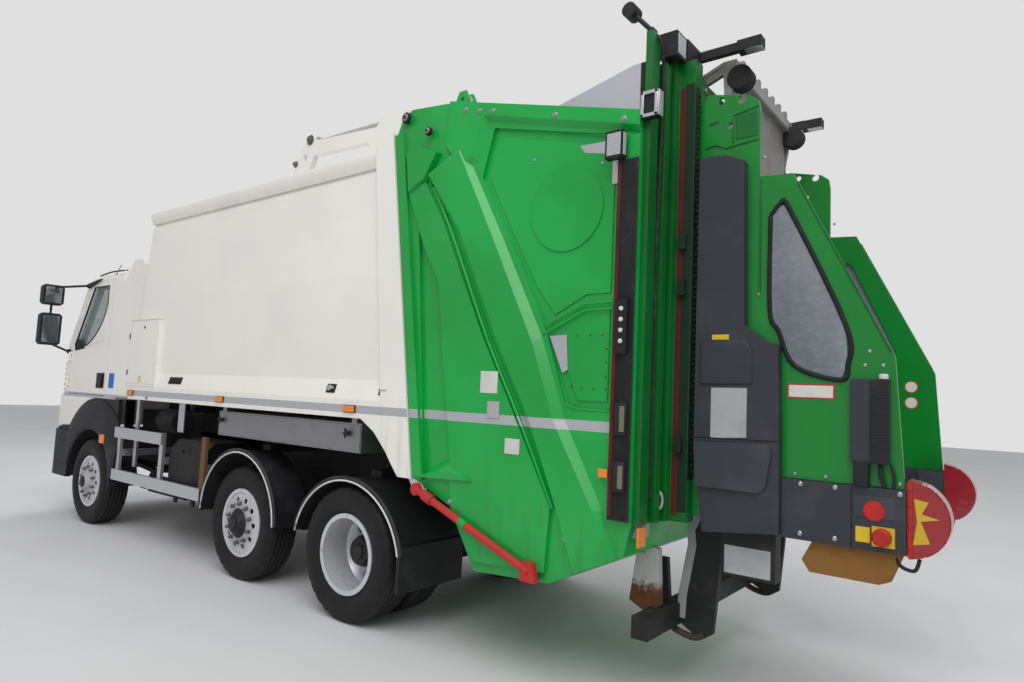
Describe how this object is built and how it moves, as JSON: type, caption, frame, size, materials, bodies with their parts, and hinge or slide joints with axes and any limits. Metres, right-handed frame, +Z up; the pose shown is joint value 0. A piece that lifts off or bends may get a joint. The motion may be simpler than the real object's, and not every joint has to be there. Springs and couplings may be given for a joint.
{
  "type": "rear loading garbage truck",
  "caption": "Three-axle garbage truck with day cab, closed load body, top-hinged hopper tailgate and a bin lift between windowed side shields.",
  "frame": {"origin": "on the ground, below the middle of the truck's box", "axes": "+X towards the front of the truck, +Y to its left, +Z up"},
  "size_m": [9.915, 2.96, 4.0489],
  "materials": {
    "body_white": "satin",
    "tail_green": "gloss",
    "frame_black": "satin",
    "engine_grey": "rough",
    "axle_black": "rough",
    "rim_silver": "satin",
    "tyre": "matte",
    "dark_plastic": "matte",
    "interior_grey": "matte",
    "glass": "clear",
    "guard_alu": "satin",
    "steel": "brushed",
    "rod_chrome": "polished",
    "strut_red": "worn",
    "cover_grey": "satin",
    "lamp_red": "gloss",
    "hood_grey": "satin"
  },
  "bodies": {
    "truck": {"chassis_frame": "frame_black", "engine_block": "engine_grey", "steered_axles": "axle_black", "drive_axle": "axle_black", "cab_shell": "body_white", "windscreen": "glass", "cab_interior": "interior_grey", "cab_plastics": "dark_plastic", "mirrors": "dark_plastic", "fuel_tank": "frame_black", "side_guards": "guard_alu", "mudguards": "dark_plastic", "tool_box": "steel", "body_shell": "body_white"},
    "left_door": {"cab_door_left": "body_white", "door_glass_left": "glass"},
    "right_door": {"cab_door_right": "body_white", "door_glass_right": "glass"},
    "tailgate": {"tailgate_shell": "tail_green", "hopper_hood": "hood_grey", "tailgate_struts": "strut_red", "lift_frame": "tail_green", "lift_shields": "tail_green", "shield_windows": "glass", "lift_covers": "cover_grey", "rear_lamps": "lamp_red", "lift_fittings": "frame_black"},
    "barrels": {"tailgate_barrels": "body_white"},
    "rods": {"tailgate_rods": "rod_chrome"},
    "carriage": {"lift_carriage": "tail_green"},
    "chair": {"lift_chair": "tail_green"},
    "front_left_knuckle": {"knuckle_front_left": "axle_black"},
    "front_left_wheel": {"wheel_front_left": "rim_silver", "tyre_front_left": "tyre"},
    "front_right_knuckle": {"knuckle_front_right": "axle_black"},
    "front_right_wheel": {"wheel_front_right": "rim_silver", "tyre_front_right": "tyre"},
    "pusher_left_knuckle": {"knuckle_pusher_left": "axle_black"},
    "pusher_left_wheel": {"wheel_pusher_left": "rim_silver", "tyre_pusher_left": "tyre"},
    "pusher_right_knuckle": {"knuckle_pusher_right": "axle_black"},
    "pusher_right_wheel": {"wheel_pusher_right": "rim_silver", "tyre_pusher_right": "tyre"},
    "drive_left_wheels": {"wheel_drive_left": "rim_silver", "tyres_drive_left": "tyre"},
    "drive_right_wheels": {"wheel_drive_right": "rim_silver", "tyres_drive_right": "tyre"}
  },
  "joints": [
    {"name": "front_left_steer", "type": "hinge", "parent": "truck", "child": "front_left_knuckle", "pos_m": [3.6875, 0.83, 0.495], "axis": [0, 0, 1], "range_deg": [-35, 35]},
    {"name": "front_left_spin", "type": "hinge", "parent": "front_left_knuckle", "child": "front_left_wheel", "pos_m": [3.6875, 1, 0.495], "axis": [0, 1, 0], "continuous": true},
    {"name": "front_right_steer", "type": "hinge", "parent": "truck", "child": "front_right_knuckle", "pos_m": [3.6875, -0.83, 0.495], "axis": [0, 0, 1], "range_deg": [-35, 35]},
    {"name": "front_right_spin", "type": "hinge", "parent": "front_right_knuckle", "child": "front_right_wheel", "pos_m": [3.6875, -1, 0.495], "axis": [0, 1, 0], "continuous": true},
    {"name": "pusher_left_steer", "type": "hinge", "parent": "truck", "child": "pusher_left_knuckle", "pos_m": [0.3575, 0.83, 0.495], "axis": [0, 0, 1], "range_deg": [-13, 13]},
    {"name": "pusher_left_spin", "type": "hinge", "parent": "pusher_left_knuckle", "child": "pusher_left_wheel", "pos_m": [0.3575, 1, 0.495], "axis": [0, 1, 0], "continuous": true},
    {"name": "pusher_right_steer", "type": "hinge", "parent": "truck", "child": "pusher_right_knuckle", "pos_m": [0.3575, -0.83, 0.495], "axis": [0, 0, 1], "range_deg": [-13, 13]},
    {"name": "pusher_right_spin", "type": "hinge", "parent": "pusher_right_knuckle", "child": "pusher_right_wheel", "pos_m": [0.3575, -1, 0.495], "axis": [0, 1, 0], "continuous": true},
    {"name": "drive_left_spin", "type": "hinge", "parent": "truck", "child": "drive_left_wheels", "pos_m": [-1.1725, 1, 0.495], "axis": [0, 1, 0], "continuous": true},
    {"name": "left_door_hinge", "type": "hinge", "parent": "truck", "child": "left_door", "pos_m": [4.6395, 1.155, 2], "axis": [0, 0, -1], "range_deg": [0, 70]},
    {"name": "drive_right_spin", "type": "hinge", "parent": "truck", "child": "drive_right_wheels", "pos_m": [-1.1725, -1, 0.495], "axis": [0, 1, 0], "continuous": true},
    {"name": "right_door_hinge", "type": "hinge", "parent": "truck", "child": "right_door", "pos_m": [4.6395, -1.155, 2], "axis": [0, 0, 1], "range_deg": [0, 70]},
    {"name": "tailgate_lift", "type": "hinge", "parent": "truck", "child": "tailgate", "pos_m": [-1.6025, 0, 3.75], "axis": [0, 1, 0], "range_deg": [0, 80]},
    {"name": "barrel_swing", "type": "hinge", "parent": "truck", "child": "barrels", "pos_m": [-0.3175, 0, 3.868], "axis": [0, 1, 0], "range_deg": [-1, 17]},
    {"name": "rod_slide", "type": "slide", "parent": "barrels", "child": "rods", "axis": [0.9998, 0, 0.0174], "range_m": [-0.005, 0.43]},
    {"name": "carriage_travel", "type": "slide", "parent": "tailgate", "child": "carriage", "axis": [0, 0, -1], "range_m": [0, 2.25]},
    {"name": "chair_tip", "type": "hinge", "parent": "carriage", "child": "chair", "pos_m": [-3.6125, 0, 3.76], "axis": [0, -1, 0], "range_deg": [-120, 0]}
  ],
  "couplings": [
    {"joint": "front_right_steer", "follows": "front_left_steer", "ratio": 1},
    {"joint": "pusher_left_steer", "follows": "front_left_steer", "ratio": 0.354},
    {"joint": "pusher_right_steer", "follows": "front_left_steer", "ratio": 0.354},
    {"joint": "barrel_swing", "follows": "tailgate_lift", "ratio": 0.194},
    {"joint": "rod_slide", "follows": "tailgate_lift", "m_per_rad": 0.2925}
  ]
}
